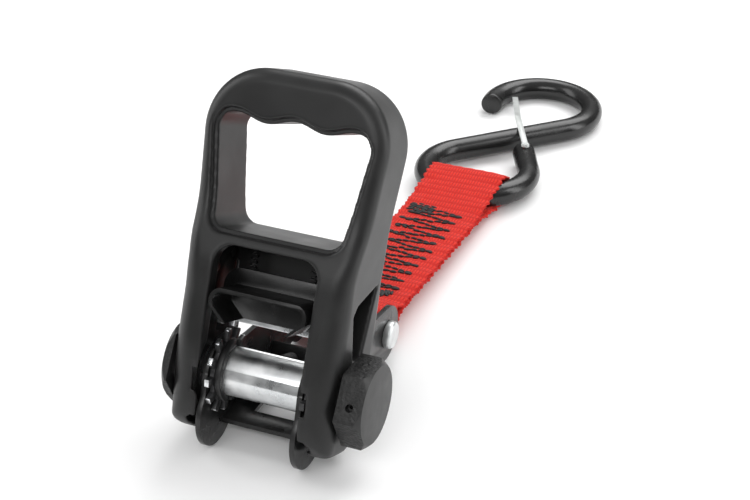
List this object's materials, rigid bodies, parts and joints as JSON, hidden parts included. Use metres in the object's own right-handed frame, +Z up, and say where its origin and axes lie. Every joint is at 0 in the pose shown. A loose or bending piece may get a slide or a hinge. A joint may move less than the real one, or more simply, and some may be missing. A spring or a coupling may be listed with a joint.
{
  "type": "ratchet tie down",
  "caption": "Hand ratchet with a looped plastic grip over a steel frame and slotted spool, and a short webbing strap ending in a coated S-hook with a keeper.",
  "frame": {"origin": "centre of the bounding box, on the floor that the frame and the hook lie on", "axes": "+X along the spool axis to the right, +Y back from the spool along the strap to the hook, +Z up"},
  "size_m": [0.079, 0.3432, 0.1355],
  "materials": {
    "grip_plastic": "satin moulded nylon with softly rounded edges",
    "frame_black": "black e-coated steel, semi-gloss",
    "cheek_black": "black e-coated steel, semi-gloss",
    "knob_black": "black, rough cast flats and a smooth turned face",
    "collar_black": "satin moulded plastic",
    "zinc": "bright zinc plate with soft streaks",
    "small_steel": "dark plated steel",
    "spring_steel": "drawn spring wire",
    "webbing_red": "ribbed polyester webbing",
    "hook_coated": "black vinyl dip over a steel rod",
    "keeper_steel": "plated spring strip"
  },
  "bodies": {
    "frame": {"base_frame": "frame_black", "lock_spring_seat": "cheek_black", "lock_springs": "spring_steel", "anchor_bolt": "zinc", "anchor_nut": "zinc", "anchor_sleeve": "zinc"},
    "lock_pawl": {"lock_pawl": "zinc"},
    "spool": {"half_shaft_front": "zinc", "half_shaft_rear": "zinc", "ratchet_wheel_left": "zinc", "ratchet_wheel_right": "zinc", "spool_collar": "collar_black", "knob_left": "knob_black", "knob_right": "knob_black", "knob_pin": "small_steel"},
    "handle": {"handle_grip": "grip_plastic", "handle_cheek_left": "cheek_black", "handle_cheek_right": "cheek_black", "cheek_rivets": "small_steel", "drive_springs": "spring_steel"},
    "drive_pawl": {"drive_pawl": "zinc", "pawl_pull": "cheek_black"},
    "strap": {"strap_webbing": "webbing_red"},
    "hook": {"s_hook": "hook_coated", "keeper_rivet": "small_steel"},
    "keeper": {"keeper_strip": "keeper_steel"}
  },
  "joints": [
    {"name": "handle_pivot", "type": "hinge", "parent": "frame", "child": "handle", "pos_m": [-0.004, -0.1514, 0.0285], "axis": [1, 0, 0], "range_deg": [-44, 120]},
    {"name": "drive_pawl_slide", "type": "slide", "parent": "handle", "child": "drive_pawl", "axis": [0, -0.4226, -0.9063], "range_m": [-0.004, 0.003], "stiffness_N_per_m": 900, "deforming": ["drive_springs"]},
    {"name": "spool_spin", "type": "hinge", "parent": "frame", "child": "spool", "pos_m": [-0.004, -0.1514, 0.0285], "axis": [1, 0, 0], "continuous": true},
    {"name": "lock_pawl_slide", "type": "slide", "parent": "frame", "child": "lock_pawl", "axis": [0, -0.9063, 0.4226], "range_m": [-0.004, 0.003], "stiffness_N_per_m": 900, "deforming": ["lock_springs"]},
    {"name": "strap_swing", "type": "hinge", "parent": "frame", "child": "strap", "pos_m": [-0.004, -0.0834, 0.0115], "axis": [1, 0, 0], "range_deg": [-20, 75]},
    {"name": "hook_swivel", "type": "hinge", "parent": "strap", "child": "hook", "pos_m": [0, 0.0416, 0.0075], "axis": [1, 0, 0], "range_deg": [-25, 50], "deforming": ["strap_webbing"]},
    {"name": "keeper_flex", "type": "hinge", "parent": "hook", "child": "keeper", "pos_m": [0.01559, 0.0889, 0.00665], "axis": [0, -0.018, -0.9998], "range_deg": [0, 14], "stiffness_Nm_per_rad": 0.6}
  ]
}
